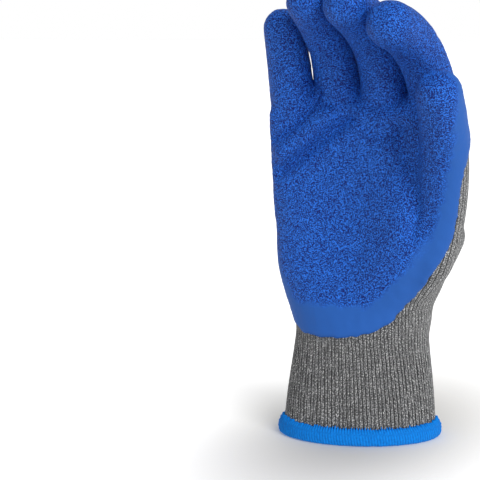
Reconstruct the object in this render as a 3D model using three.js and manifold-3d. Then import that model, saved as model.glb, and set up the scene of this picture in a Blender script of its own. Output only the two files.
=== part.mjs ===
// Work glove for a right hand: a seamless knitted liner, a ribbed wrist cuff knitted with elastic,
// a crinkled latex coat over the palm and fingers, and an overlocked hem round the opening.
// Millimetres. +Z runs up from the hem's foot to the fingertips, the palm faces -Y and the thumb is
// on the +X side. The origin is the middle of the hand opening, level with the hem's foot.
import * as THREE from "three";
import { mergeVertices } from "three/addons/utils/BufferGeometryUtils.js";
import Module from "manifold-3d";

const wasm = await Module();
wasm.setup();

// Sizes across X and through Y, over the knit, with the hand in the glove
const cuffFootWidth = 84.5;
const cuffFootDepth = 54;
const wristWidth = 73.5;
const wristDepth = 48;
const palmWidth = 101;
const palmDepth = 37;
const fingerBreadth = palmWidth * 0.238;

// Heights: floor to the narrowest part of the wrist, from there to the crotches of the fingers, and
// the middle finger's length with its root inside the palm
const wristHeight = 57;
const palmHeight = 125;
const fingerLength = palmHeight * 0.962;

// Walls and clearances
const knitWall = 2;
const latexWall = 1;
const seatGap = 0.3;
const hemHeight = 9;
const hemOuterWall = 3;
const hemInnerWall = 1.4;
const hemFootWall = 2;

// How finely the rounds are faceted
const bodySides = 34;
const domeSteps = 3;
const outsideFacets = { body: bodySides, digit: 12, pitch: 0.094 };
const insideFacets = { body: 24, digit: 10, pitch: 0.128 };

// The little finger's side of the palm cups forward more than the thumb's side by this factor.
const littleSideCup = 1.4;

// The ribbed cuff, from its foot to the wrist: flare 1 is the foot's size and 0 the wrist's. twist is
// how far the forearm turns the section, in degrees from the palm's side to the thumb's.
const CUFF_SECTIONS = [
  { up: 0, flare: 1, twist: 20 },
  { up: 0.2, flare: 0.86, twist: 19 },
  { up: 0.4, flare: 0.68, twist: 17.5 },
  { up: 0.6, flare: 0.44, twist: 15.5 },
  { up: 0.8, flare: 0.18, twist: 13.5 },
  { up: 1, flare: 0, twist: 11 },
];

// The hand, from the wrist to the crotches. spread and thin run from the wrist's size (0) to the
// palm's (1); across is a share of the palm's width; forward, cup, hollow and mound are shares of its
// depth. cup bends both edges of the hand forward, hollow dishes the palm, mound is the ball of the
// thumb, square 2 is a plain ellipse, and twist fades out where the forearm's turn ends.
const HAND_SECTIONS = [
  {
    up: 0, spread: 0, thin: 0, across: 0.008,
    forward: 0, cup: 0, hollow: 0, mound: 0, square: 2, twist: 11,
  },
  {
    up: 0.07, spread: 0.09, thin: 0.12, across: 0.013,
    forward: 0.01, cup: 0.01, hollow: 0, mound: 0.01, square: 2.05, twist: 9.5,
  },
  {
    up: 0.14, spread: 0.25, thin: 0.28, across: 0.004,
    forward: 0.02, cup: 0.02, hollow: 0, mound: 0.04, square: 2.1, twist: 8,
  },
  {
    up: 0.2, spread: 0.49, thin: 0.45, across: 0.016,
    forward: 0.03, cup: 0.04, hollow: 0.01, mound: 0.09, square: 2.15, twist: 6,
  },
  {
    up: 0.27, spread: 0.71, thin: 0.6, across: 0.026,
    forward: 0.05, cup: 0.07, hollow: 0.03, mound: 0.14, square: 2.2, twist: 4,
  },
  {
    up: 0.35, spread: 0.95, thin: 0.76, across: 0.052,
    forward: 0.07, cup: 0.1, hollow: 0.06, mound: 0.18, square: 2.25, twist: 2,
  },
  {
    up: 0.45, spread: 1.06, thin: 0.9, across: 0.074,
    forward: 0.1, cup: 0.14, hollow: 0.09, mound: 0.19, square: 2.3, twist: 0.5,
  },
  {
    up: 0.55, spread: 1.02, thin: 1, across: 0.064,
    forward: 0.12, cup: 0.18, hollow: 0.1, mound: 0.15, square: 2.35, twist: 0,
  },
  {
    up: 0.66, spread: 0.95, thin: 1.1, across: 0.058,
    forward: 0.15, cup: 0.21, hollow: 0.08, mound: 0.08, square: 2.4, twist: 0,
  },
  {
    up: 0.78, spread: 0.9, thin: 1.38, across: 0.052,
    forward: 0.19, cup: 0.23, hollow: 0.04, mound: 0.02, square: 2.4, twist: 0,
  },
  {
    up: 0.89, spread: 0.85, thin: 1.7, across: 0.046,
    forward: 0.25, cup: 0.24, hollow: 0.01, mound: 0, square: 2.35, twist: 0,
  },
  {
    up: 0.97, spread: 0.79, thin: 2.02, across: 0.042,
    forward: 0.3, cup: 0.25, hollow: 0, mound: 0, square: 2.3, twist: 0,
  },
];

// The web between the fingers closes the hand: each row is a share of the last section's size.
const WEB_SECTIONS = [
  { up: 1.01, width: 0.96, depth: 0.82 },
  { up: 1.04, width: 0.9, depth: 0.46 },
];

// The hem's round outside: how far it stands out at each share of its height, as a share of its wall.
const HEM_SECTIONS = [
  { up: 0, out: 0.55 },
  { up: 0.16, out: 0.9 },
  { up: 0.4, out: 1 },
  { up: 0.65, out: 0.95 },
  { up: 0.85, out: 0.7 },
  { up: 1, out: 0.3 },
];

// The five digits. root is where the middle line starts inside the hand, as shares of the palm's
// width, its depth and the hand's height. length and girth are shares of the middle finger's length
// and breadth. Each bone is a share of the length, with its lean towards the thumb side and its curl
// towards the palm in degrees; across turns the curl's direction towards the thumb side. widths are
// the breadths at the root, at the three joints and at the pad, as shares of girth; nail is the way
// the nail faces, from the back of the hand to the thumb side.
const DIGITS = [
  {
    name: "little",
    root: [-0.3, -0.36, 0.744],
    length: 0.705,
    girth: 0.85,
    widths: [0.66, 1.03, 0.98, 0.91, 0.8],
    deep: 0.98,
    nail: -14,
    across: 0,
    bones: [
      { share: 0.39, lean: -5, curl: 9 },
      { share: 0.28, lean: 0, curl: 14 },
      { share: 0.12, lean: 0, curl: 18 },
      { share: 0.21, lean: 0, curl: 20 },
    ],
  },
  {
    name: "ring",
    root: [-0.09, -0.22, 0.744],
    length: 0.955,
    girth: 0.94,
    widths: [0.7, 1.02, 0.98, 0.95, 0.87],
    deep: 0.98,
    nail: -4,
    across: -2,
    bones: [
      { share: 0.31, lean: -1, curl: 5 },
      { share: 0.23, lean: 0, curl: 19 },
      { share: 0.19, lean: 0, curl: 46 },
      { share: 0.27, lean: 3, curl: 60 },
    ],
  },
  {
    name: "middle",
    root: [0.146, -0.2, 0.744],
    length: 1,
    girth: 1,
    widths: [0.7, 1.01, 0.98, 0.95, 0.87],
    deep: 0.98,
    nail: 2,
    across: -8,
    bones: [
      { share: 0.31, lean: 4, curl: 6 },
      { share: 0.21, lean: 2, curl: 22 },
      { share: 0.2, lean: 2, curl: 50 },
      { share: 0.28, lean: 6, curl: 68 },
    ],
  },
  {
    name: "index",
    root: [0.4, -0.31, 0.72],
    length: 0.96,
    girth: 1,
    widths: [0.6, 1, 0.98, 0.96, 0.92],
    deep: 0.98,
    nail: 8,
    across: -8,
    bones: [
      { share: 0.35, lean: 5, curl: 4 },
      { share: 0.21, lean: 0, curl: 32 },
      { share: 0.185, lean: -2, curl: 55 },
      { share: 0.255, lean: -2, curl: 74 },
    ],
  },
  {
    name: "thumb",
    root: [0.242, -0.1, 0.12],
    length: 1.205,
    girth: 1.06,
    widths: [0.6, 1.14, 1.08, 0.97, 0.84],
    deep: 0.94,
    nail: 55,
    across: 0,
    bones: [
      { share: 0.24, lean: 27, curl: 8 },
      { share: 0.22, lean: 17, curl: 13 },
      { share: 0.23, lean: 11, curl: 24 },
      { share: 0.31, lean: 7, curl: 37 },
    ],
  },
];

// The bare knit on the backs of the digits: how far the coat's edge stands off the nail's side, in
// degrees, by the share of the digit's length.
const FINGER_BARE = [
  { along: 0, half: 66 },
  { along: 0.5, half: 64 },
  { along: 0.64, half: 58 },
  { along: 0.73, half: 44 },
  { along: 0.79, half: 22 },
  { along: 0.82, half: 3 },
];
const THUMB_BARE = [
  { along: 0, half: 98 },
  { along: 0.2, half: 90 },
  { along: 0.34, half: 78 },
  { along: 0.46, half: 62 },
  { along: 0.55, half: 44 },
  { along: 0.61, half: 20 },
  { along: 0.65, half: 3 },
];

// The coat on the hand: how far round it reaches, in degrees of the hand's own sections, from the
// little finger's side to the thumb's side. 270 is the middle of the palm, 180 the little finger's
// edge and 360 the thumb's.
const COAT_REACH = [
  { up: 0.026, from: 256, to: 276 },
  { up: 0.036, from: 236, to: 292 },
  { up: 0.048, from: 218, to: 303 },
  { up: 0.072, from: 200, to: 314 },
  { up: 0.11, from: 192, to: 322 },
  { up: 0.19, from: 180, to: 326 },
  { up: 0.3, from: 170, to: 331 },
  { up: 0.39, from: 164, to: 335 },
  { up: 0.48, from: 156, to: 338 },
  { up: 0.6, from: 149, to: 342 },
  { up: 0.75, from: 143, to: 348 },
  { up: 0.86, from: 142, to: 355 },
  { up: 0.95, from: 141, to: 360 },
  { up: 1.1, from: 140, to: 364 },
];

const degrees = Math.PI / 180;
const lerp = THREE.MathUtils.lerp;

// The faces that close a ring of points: a fan from its first point, or rungs across it, which also
// fit a crescent.
function lid(around, fan) {
  const rows = Array.from({ length: fan ? around : around / 2 }, (_, j) => j);
  const faces = rows.flatMap((j) => {
    const [next, far, back] = [(j + 1) % around, around - j - 1, (around - j) % around];
    return fan ? [[0, j, next]] : [[j, next, far], [j, far, back]];
  });
  return faces.filter(([a, b, c]) => a !== b && b !== c && a !== c);
}

// The closed geometry of a stack of rings, each a list of as many points, from the first to the last
function stack(rings, fan = false) {
  const around = rings[0].length;
  const last = (rings.length - 1) * around;
  const faces = lid(around, fan).flatMap(([a, b, c]) => [c, b, a, a + last, b + last, c + last]);
  for (let j = 0; j < around; j++) {
    const next = (j + 1) % around;
    for (let i = 0; i + 1 < rings.length; i++) {
      const [a, b] = [i * around + j, i * around + next];
      faces.push(a, b, b + around, a, b + around, a + around);
    }
  }
  const geometry = new THREE.BufferGeometry();
  const flat = rings.flat().flatMap((p) => p.toArray());
  geometry.setAttribute("position", new THREE.Float32BufferAttribute(flat, 3));
  geometry.setIndex(faces);
  return geometry;
}

// A closed geometry as a solid that can be joined and cut, and a solid as a geometry again
function solidOf(geometry) {
  const merged = mergeVertices(geometry, 1e-4);
  return new wasm.Manifold(
    new wasm.Mesh({
      numProp: 3,
      vertProperties: new Float32Array(merged.attributes.position.array),
      triVerts: new Uint32Array(merged.index.array),
    }),
  );
}

function geometryOf(solid) {
  const mesh = solid.getMesh();
  const geometry = new THREE.BufferGeometry();
  geometry.setAttribute("position", new THREE.BufferAttribute(mesh.vertProperties, 3));
  geometry.setIndex(new THREE.BufferAttribute(mesh.triVerts, 1));
  geometry.computeVertexNormals();
  return geometry;
}

const joined = (solids) => solids.reduce((sum, solid) => sum.add(solid));

// The value of a column of a table at a place between its rows
function between(rows, key, column, at) {
  const upper = rows.findIndex((row) => row[key] >= at);
  if (upper === 0) return rows[0][column];
  if (upper < 0) return rows.at(-1)[column];
  const [a, b] = [rows[upper - 1], rows[upper]];
  return lerp(a[column], b[column], (at - a[key]) / (b[key] - a[key]));
}

// One point of a section of the hand or cuff, at an angle of the section's own: a superellipse with
// both edges cupped forward and its palm side dished, turned by the section's twist
function sectionPoint(section, angle, grow) {
  const round = (v) => Math.sign(v) * Math.abs(v) ** (2 / section.square);
  const [c, s] = [round(Math.cos(angle)), round(Math.sin(angle))];
  const bend = section.cup * (c < 0 ? littleSideCup : 1) * c * c;
  const dish = section.hollow * Math.max(0, 1 - ((c + 0.15) / 0.75) ** 2) ** 2;
  const ball = section.mound * Math.max(0, 1 - ((c - 0.5) / 0.62) ** 2) ** 2;
  const across = (section.halfWidth + grow) * c;
  const back = (section.halfDepth + grow) * s - bend + (s < 0 ? dish - ball : 0);
  const turn = section.twist * degrees;
  return new THREE.Vector3(
    section.x + across * Math.cos(turn) - back * Math.sin(turn),
    section.y + across * Math.sin(turn) + back * Math.cos(turn),
    section.z,
  );
}

function sectionRing(section, sides, grow) {
  const turns = Array.from({ length: sides }, (_, j) => (j / sides) * 2 * Math.PI);
  return turns.map((angle) => sectionPoint(section, angle, grow));
}

// A section of the cuff or the hand at a height: plain numbers in millimetres, and its twist
function cuffSection(up) {
  const flare = between(CUFF_SECTIONS, "up", "flare", up);
  return {
    z: up * wristHeight,
    halfWidth: lerp(wristWidth, cuffFootWidth, flare) / 2,
    halfDepth: lerp(wristDepth, cuffFootDepth, flare) / 2,
    x: 0.008 * palmWidth * up,
    y: 0,
    square: 2,
    cup: 0,
    hollow: 0,
    mound: 0,
    twist: between(CUFF_SECTIONS, "up", "twist", up),
  };
}

function handSection(up) {
  const at = (column) => between(HAND_SECTIONS, "up", column, up);
  const web = up > HAND_SECTIONS.at(-1).up;
  const last = { up: HAND_SECTIONS.at(-1).up, width: 1, depth: 1 };
  const narrowing = (column) => (web ? between([last, ...WEB_SECTIONS], "up", column, up) : 1);
  return {
    z: wristHeight + up * palmHeight,
    halfWidth: (lerp(wristWidth, palmWidth, at("spread")) / 2) * narrowing("width"),
    halfDepth: (lerp(wristDepth, palmDepth, at("thin")) / 2) * narrowing("depth"),
    x: at("across") * palmWidth,
    y: -at("forward") * palmDepth,
    square: at("square"),
    cup: at("cup") * palmDepth,
    hollow: at("hollow") * palmDepth,
    mound: at("mound") * palmDepth,
    twist: at("twist"),
  };
}

const digitLength = (digit) => digit.length * fingerLength;
const digitGirth = (digit) => digit.girth * fingerBreadth;

// The middle line of a digit: a smooth curve through its joints
function digitLine(digit) {
  const [across, forward, up] = digit.root;
  const point = new THREE.Vector3(
    across * palmWidth,
    forward * palmDepth,
    wristHeight + up * palmHeight,
  );
  const joints = [point.clone()];
  for (const bone of digit.bones) {
    const [lean, curl, turn] = [bone.lean * degrees, bone.curl * degrees, digit.across * degrees];
    const along = new THREE.Vector3(
      Math.cos(curl) * Math.sin(lean) + Math.sin(curl) * Math.sin(turn),
      -Math.sin(curl) * Math.cos(turn),
      Math.cos(curl) * Math.cos(lean),
    );
    joints.push(point.addScaledVector(along.normalize(), bone.share * digitLength(digit)).clone());
  }
  return new THREE.CatmullRomCurve3(joints, false, "centripetal");
}

// A place on a digit at a share of its length: the centre, the directions to its thumb side and its
// back, and its half breadth
function digitPlace(digit, line, share) {
  const at = Math.min(share, 1);
  const [first, second, third] = digit.bones.map((bone) => bone.share);
  const marks = [0, first, first + second, first + second + third, 1];
  const breadths = digit.widths.map((width, k) => ({ at: marks[k], width }));
  const tangent = line.getTangentAt(at);
  const nail = new THREE.Vector3(Math.sin(digit.nail * degrees), Math.cos(digit.nail * degrees), 0);
  const side = nail.cross(tangent).normalize();
  return {
    centre: line.getPointAt(at).addScaledVector(tangent, (share - at) * digitLength(digit)),
    side,
    back: tangent.clone().cross(side),
    half: (digitGirth(digit) * between(breadths, "at", "width", at)) / 2,
  };
}

// The stations of a digit, from its root to the end of its round tip: a share of the length and a
// scale of the section
function digitStations(digit, grow, pitch) {
  const whole = digitLength(digit);
  const tip = (digitGirth(digit) * digit.widths.at(-1)) / 2;
  const straight = whole - tip;
  const steps = Math.round(straight / (pitch * fingerLength));
  const shaft = Array.from({ length: steps }, (_, i) => ({
    share: ((i / steps) * straight) / whole,
    scale: 1,
  }));
  const dome = Array.from({ length: domeSteps }, (_, i) => {
    const turn = (i / domeSteps) * (Math.PI / 2);
    const share = (straight + (tip + grow) * Math.sin(turn)) / whole;
    return { share, scale: Math.cos(turn) ** 0.85 };
  });
  return [...shaft, ...dome, { share: (whole + grow) / whole, scale: 0.14 }];
}

function digitSolid(digit, grow, sides, pitch) {
  const line = digitLine(digit);
  const rings = digitStations(digit, grow, pitch).map(({ share, scale }) => {
    const { centre, side, back, half } = digitPlace(digit, line, share);
    return Array.from({ length: sides }, (_, j) => {
      const angle = (j / sides) * 2 * Math.PI;
      return centre
        .clone()
        .addScaledVector(side, (half + grow) * scale * Math.cos(angle))
        .addScaledVector(back, (half * digit.deep + grow) * scale * Math.sin(angle));
    });
  });
  return solidOf(stack(rings));
}

// The space over a digit's back that the coat leaves bare: a wedge out from the middle line
function bareWedge(digit, rows) {
  const line = digitLine(digit);
  const steps = 12;
  const reach = seatGap + latexWall * 1.8;
  const rings = Array.from({ length: steps + 1 }, (_, i) => {
    const share = (i / steps) * rows.at(-1).along;
    const spread = between(rows, "along", "half", share) * degrees;
    const { centre, side, back, half } = digitPlace(digit, line, share);
    const arc = Array.from({ length: 9 }, (_, j) => {
      const angle = Math.PI / 2 + spread * (j / 4 - 1);
      return centre
        .clone()
        .addScaledVector(side, (half + reach) * Math.cos(angle))
        .addScaledVector(back, (half + reach) * Math.sin(angle));
    });
    return [centre, ...arc];
  });
  return solidOf(stack(rings, true));
}

// The space round the hand that the coat covers, as deep as reach off the knit
function coatedSpace(reach) {
  const arcSteps = 22;
  const top = HAND_SECTIONS.at(-1).up;
  const rings = COAT_REACH.map(({ up, from, to }) => {
    const section = { ...handSection(Math.min(up, top)), z: wristHeight + up * palmHeight };
    const arc = Array.from({ length: arcSteps + 1 }, (_, j) =>
      sectionPoint(section, lerp(from, to, j / arcSteps) * degrees, reach),
    );
    return [new THREE.Vector3(section.x, section.y, section.z), ...arc];
  });
  return solidOf(stack(rings, true));
}

// The hand without its digits, its skin moved out by grow; below carries the wrist's end down.
function palmSolid(grow, below, sides) {
  const hand = HAND_SECTIONS.map(({ up }) => sectionRing(handSection(up), sides, grow));
  const web = WEB_SECTIONS.map(({ up }) => {
    const section = handSection(up);
    return sectionRing({ ...section, z: section.z + grow }, sides, grow);
  });
  const end = hand[0].map((p) => p.clone().setZ(p.z - below));
  return solidOf(stack([end, ...hand, ...web]));
}

function handSolid(grow, below, facets) {
  const digits = DIGITS.map((digit) => digitSolid(digit, grow, facets.digit, facets.pitch));
  return joined([palmSolid(grow, below, facets.body), ...digits]);
}

// The cuff's outside or inside between two heights, moved out by grow
function cuffSolid(grow, from, to) {
  const heights = CUFF_SECTIONS.map((row) => ({ z: row.up * wristHeight, grow }));
  const inside = heights.filter(({ z }) => z > from && z < to);
  return cuffRings([{ z: from, grow }, ...inside, { z: to, grow }]);
}

// The same from rows of heights and distances off the cuff's knit
function cuffRings(rows) {
  const rings = rows.map((row) => {
    const up = THREE.MathUtils.clamp(row.z / wristHeight, 0, 1);
    return sectionRing({ ...cuffSection(up), z: row.z }, bodySides, row.grow);
  });
  return solidOf(stack(rings));
}

const liner = handSolid(0, -seatGap, outsideFacets).subtract(
  handSolid(-knitWall, 2, insideFacets),
);

const cuffFrom = hemFootWall + seatGap;
const cuff = cuffSolid(0, cuffFrom, wristHeight).subtract(
  cuffSolid(-knitWall, cuffFrom - 1, wristHeight + 1),
);

// The hem grips the cuff's lower edge in a groove, as the folded yarn does.
const hemRoll = cuffRings(
  HEM_SECTIONS.map(({ up, out }) => ({ z: up * hemHeight, grow: seatGap + hemOuterWall * out })),
);
const hemBore = cuffSolid(-knitWall - seatGap - hemInnerWall, -1, hemHeight + 1);
const hemGroove = cuffSolid(seatGap, hemFootWall, hemHeight + 1).subtract(
  cuffSolid(-knitWall - seatGap, hemFootWall - 1, hemHeight + 2),
);
const hem = hemRoll.subtract(hemBore).subtract(hemGroove);

// The coat is the skin over the palm and the digits, less the bare backs and the knit under it.
const skin = seatGap + latexWall;
const palmSkin = palmSolid(skin, 0, outsideFacets.body).intersect(coatedSpace(skin * 4));
const digitSkins = DIGITS.map((digit) =>
  digitSolid(digit, skin, outsideFacets.digit, outsideFacets.pitch).subtract(
    bareWedge(digit, digit.name === "thumb" ? THUMB_BARE : FINGER_BARE),
  ),
);
const coat = joined([palmSkin, ...digitSkins]).subtract(handSolid(seatGap, 2, outsideFacets));

const glove = new THREE.Group();

function addPiece(name, solid, color, roughness) {
  const material = new THREE.MeshStandardMaterial({ color, roughness, metalness: 0 });
  const piece = new THREE.Mesh(geometryOf(solid), material);
  piece.name = name;
  glove.add(piece);
}

addPiece("knit_liner", liner, 0x8b8c8a, 0.95);
addPiece("rib_cuff", cuff, 0x848583, 0.95);
addPiece("latex_coating", coat, 0x2a57b8, 0.6);
addPiece("overlock_hem", hem, 0x1583e0, 0.85);

export default glove;
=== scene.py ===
# %% [markdown]
# # A knitted work glove with a crinkled latex coat
#
# The glove is a tube of grey knit that has grown five smaller tubes. A rubber skin covers the palm
# and the fingertips, and a bright yarn binds the opening. This script dresses the packed
# solids with four pieces: the knitted hand, the coat, the ribbed cuff and the hem.

import bpy
import numpy as np
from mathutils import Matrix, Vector


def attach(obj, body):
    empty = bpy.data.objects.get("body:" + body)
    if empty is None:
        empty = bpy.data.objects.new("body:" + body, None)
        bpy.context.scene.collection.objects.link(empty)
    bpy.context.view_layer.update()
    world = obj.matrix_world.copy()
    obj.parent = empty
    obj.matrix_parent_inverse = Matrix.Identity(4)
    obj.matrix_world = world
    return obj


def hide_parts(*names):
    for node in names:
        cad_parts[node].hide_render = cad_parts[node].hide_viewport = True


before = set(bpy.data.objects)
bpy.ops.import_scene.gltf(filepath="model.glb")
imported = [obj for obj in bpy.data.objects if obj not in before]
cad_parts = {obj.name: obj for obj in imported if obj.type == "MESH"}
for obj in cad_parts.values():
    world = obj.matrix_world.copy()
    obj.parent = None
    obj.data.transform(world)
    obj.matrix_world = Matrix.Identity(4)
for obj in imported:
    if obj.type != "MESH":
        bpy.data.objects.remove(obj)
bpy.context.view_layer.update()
MM = 0.001

# %% [markdown]
# ## Sizes
#
# A worn glove has the form of the hand in it: a stack of rounded sections, and for each finger a
# round section carried along a curved middle line. The sizes are the ones that the solids are made
# from, and the short tables follow theirs to within a few millimetres, so every piece lands on its
# solid.

# %% Named sizes in millimetres
CUFF_FOOT_WIDTH, CUFF_FOOT_DEPTH = 84.5, 54.0
WRIST_WIDTH, WRIST_DEPTH = 73.5, 48.0
PALM_WIDTH, PALM_DEPTH = 101.0, 37.0
WRIST_HEIGHT, PALM_HEIGHT = 57.0, 125.0
FINGER_BREADTH = PALM_WIDTH * 0.238
FINGER_LENGTH = PALM_HEIGHT * 0.962
KNIT_WALL = 2.0
LITTLE_SIDE_CUP = 1.4
DISH_MIDDLE, DISH_REACH = -0.15, 0.75  # the palm's dish and the thumb's ball, as shares of half
BALL_MIDDLE, BALL_REACH = 0.5, 0.62  # of the width

# Knit: a wale is an upright column of stitches, a course is a row.
BODY_WALES = 100
FINGER_WALES = 30
COURSE = 2.05


def columns(names, rows):
    """A table as named columns, one array each."""
    return dict(zip(names.split(), np.array(rows, float).T))


def unit(rows):
    """Each row made one long."""
    return rows / np.maximum(np.linalg.norm(rows, axis=1, keepdims=True), 1e-12)


# %% The tables of the hand
CUFF = columns("up flare twist", [(0, 1, 20), (0.2, 0.86, 19), (0.4, 0.68, 17.5), (0.6, 0.44, 15.5),
                                  (0.8, 0.18, 13.5), (1, 0, 11)])
HAND = columns(
    "up spread thin across forward cup hollow mound square twist",
    [
        (0, 0, 0, 0.008, 0, 0, 0, 0, 2, 11),
        (0.07, 0.09, 0.12, 0.013, 0.01, 0.01, 0, 0.01, 2.05, 9.5),
        (0.14, 0.22, 0.28, 0.001, 0.02, 0.02, 0, 0.04, 2.1, 8),
        (0.2, 0.45, 0.45, 0.011, 0.03, 0.04, 0.01, 0.09, 2.15, 6),
        (0.27, 0.66, 0.6, 0.02, 0.05, 0.07, 0.03, 0.14, 2.2, 4),
        (0.35, 0.92, 0.76, 0.046, 0.07, 0.1, 0.06, 0.18, 2.25, 2),
        (0.46, 1.12, 0.9, 0.084, 0.1, 0.14, 0.09, 0.19, 2.3, 0.5),
        (0.55, 1.05, 1, 0.069, 0.12, 0.18, 0.1, 0.15, 2.35, 0),
        (0.66, 0.95, 1.1, 0.058, 0.15, 0.21, 0.08, 0.08, 2.4, 0),
        (0.78, 0.9, 1.38, 0.052, 0.19, 0.23, 0.04, 0.02, 2.4, 0),
        (0.89, 0.85, 1.7, 0.046, 0.25, 0.24, 0.01, 0, 2.35, 0),
        (0.97, 0.79, 2.02, 0.042, 0.3, 0.25, 0, 0, 2.3, 0),
    ],
)
WEB = columns("up width depth", [(0.97, 1, 1), (1.01, 0.96, 0.82), (1.04, 0.9, 0.46)])
WEB_FOOT, WEB_TOP = WEB["up"][[0, -1]]
COAT_REACH = columns(
    "up start end",
    [
        (0.012, 240, 256), (0.02, 226, 266), (0.028, 204, 273), (0.044, 192, 281),
        (0.08, 184, 297), (0.108, 180, 304), (0.158, 176, 312), (0.22, 172, 319),
        (0.3, 168, 326), (0.39, 164, 331), (0.48, 156, 336), (0.6, 149, 341),
        (0.75, 143, 348), (0.86, 142, 355), (0.95, 141, 360), (1.1, 140, 364),
    ],
)

# Each digit: root, length and girth shares, breadths, depth, nail, across, and its bones' shares,
# leans and curls. Angles are in degrees.
DIGITS = {
    "little": ((-0.3, -0.36, 0.744), 0.705, 0.85, (0.66, 1.08, 1.02, 0.96, 0.85), 0.98, -14, 0,
               ((0.39, -5, 9), (0.28, -2, 14), (0.12, -2, 18), (0.21, -2, 20))),
    "ring": ((-0.09, -0.22, 0.744), 0.955, 0.94, (0.7, 1.06, 0.98, 0.95, 0.87), 0.98, -4, -2,
             ((0.31, -1, 5), (0.23, 0, 19), (0.19, 0, 46), (0.27, 3, 60))),
    "middle": ((0.146, -0.2, 0.744), 1, 1, (0.7, 1.01, 0.98, 0.95, 0.87), 0.98, 2, -8,
               ((0.31, 4, 6), (0.21, 2, 22), (0.2, 2, 50), (0.28, 6, 68))),
    "index": ((0.4, -0.31, 0.72), 0.96, 0.96, (0.6, 1, 0.98, 0.96, 0.92), 0.98, 8, -8,
              ((0.35, 5, 4), (0.21, -1, 32), (0.185, -3, 55), (0.255, -3, 74))),
    "thumb": ((0.242, -0.1, 0.12), 1.225, 1.06, (0.6, 1.22, 1.08, 0.97, 0.84), 0.94, 55, 0,
              ((0.24, 27, 8), (0.22, 17, 13), (0.23, 10, 24), (0.31, 4.5, 37))),
}
# The bare backs of the digits: half of their spread in degrees, by the share of the length. The
# last rows run below zero, which carries the coat all round the tip.
FINGER_BARE = columns("along half", [(0, 66), (0.5, 64), (0.64, 58), (0.73, 44), (0.79, 22),
                                     (0.82, 3), (0.87, -40), (1.1, -200)])
THUMB_BARE = columns("along half", [(0, 112), (0.16, 102), (0.25, 94), (0.31, 83), (0.37, 77),
                                    (0.5, 75), (0.6, 66), (0.66, 50), (0.71, 14), (0.74, -20),
                                    (1, -200)])
BARE_TURN = {"little": 12}  # how far the bare back lies towards the thumb's side, in degrees

# %% [markdown]
# ## The hand as a surface of two parameters
#
# A point of the body is found from its height and its angle round the section. The tables are read
# with a short running average, so that the rows blend without kinks. The forearm turns the sections
# near the wrist, so the cuff is oval along another line than the hand.


# %% Sections of the cuff and the hand
def eased(at, key, column, reach=0.03):
    """The column at a place, as the mean of five readings within a short reach on either side."""
    return np.mean([np.interp(at + s, key, column) for s in np.linspace(-reach, reach, 5)], axis=0)


TWIST_REACH = 4.0
TWIST = {
    "z": np.r_[CUFF["up"] * WRIST_HEIGHT, WRIST_HEIGHT + HAND["up"][1:] * PALM_HEIGHT],
    "turn": np.r_[CUFF["twist"], HAND["twist"][1:]],
}


def body_section(z):
    """The section at each height: half width, half depth, middle, how it bends and how it turns."""
    up = (z - WRIST_HEIGHT) / PALM_HEIGHT
    cuff_up = np.clip(z / WRIST_HEIGHT, 0, 1)
    row = {name: eased(up, HAND["up"], HAND[name]) for name in HAND if name != "up"}
    flare = np.interp(cuff_up, CUFF["up"], CUFF["flare"])
    width = WRIST_WIDTH + (PALM_WIDTH - WRIST_WIDTH) * row["spread"]
    depth = WRIST_DEPTH + (PALM_DEPTH - WRIST_DEPTH) * row["thin"]
    return {
        "a": width / 2 * np.interp(up, WEB["up"], WEB["width"])
        + flare * (CUFF_FOOT_WIDTH - WRIST_WIDTH) / 2,
        "b": depth / 2 * np.interp(up, WEB["up"], WEB["depth"])
        + flare * (CUFF_FOOT_DEPTH - WRIST_DEPTH) / 2,
        "x": row["across"] * cuff_up * PALM_WIDTH,
        "y": -row["forward"] * PALM_DEPTH,
        **{name: row[name] * PALM_DEPTH for name in ("cup", "hollow", "mound")},
        "square": row["square"],
        "turn": np.radians(eased(z, TWIST["z"], TWIST["turn"], TWIST_REACH)),
    }


def palm_relief(section, c):
    """How far the palm side lies off the plain section: the dish less the ball of the thumb."""
    dish = np.maximum(0, 1 - ((c - DISH_MIDDLE) / DISH_REACH) ** 2) ** 2
    ball = np.maximum(0, 1 - ((c - BALL_MIDDLE) / BALL_REACH) ** 2) ** 2
    return section["hollow"] * dish - section["mound"] * ball


def edge_bend(section, c):
    """Both edges of the hand bend forward with the square of the way across."""
    return section["cup"] * np.where(c < 0, LITTLE_SIDE_CUP, 1) * c * c


def body_point(z, angle, grow=0.0):
    """x = a cos, y = b sin, each to the power 2 / square, then cupped, dished and turned."""
    z, angle = np.broadcast_arrays(np.asarray(z, float), angle)
    part = body_section(z)
    power = 2 / part["square"]
    c = np.sign(np.cos(angle)) * np.abs(np.cos(angle)) ** power
    s = np.sign(np.sin(angle)) * np.abs(np.sin(angle)) ** power
    relief = np.where(s < 0, palm_relief(part, c), 0)
    across = (part["a"] + grow) * c
    back = (part["b"] + grow) * s - edge_bend(part, c) + relief
    x = part["x"] + across * np.cos(part["turn"]) - back * np.sin(part["turn"])
    y = part["y"] + across * np.sin(part["turn"]) + back * np.cos(part["turn"])
    return np.stack([x, y, z], axis=-1)


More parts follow.
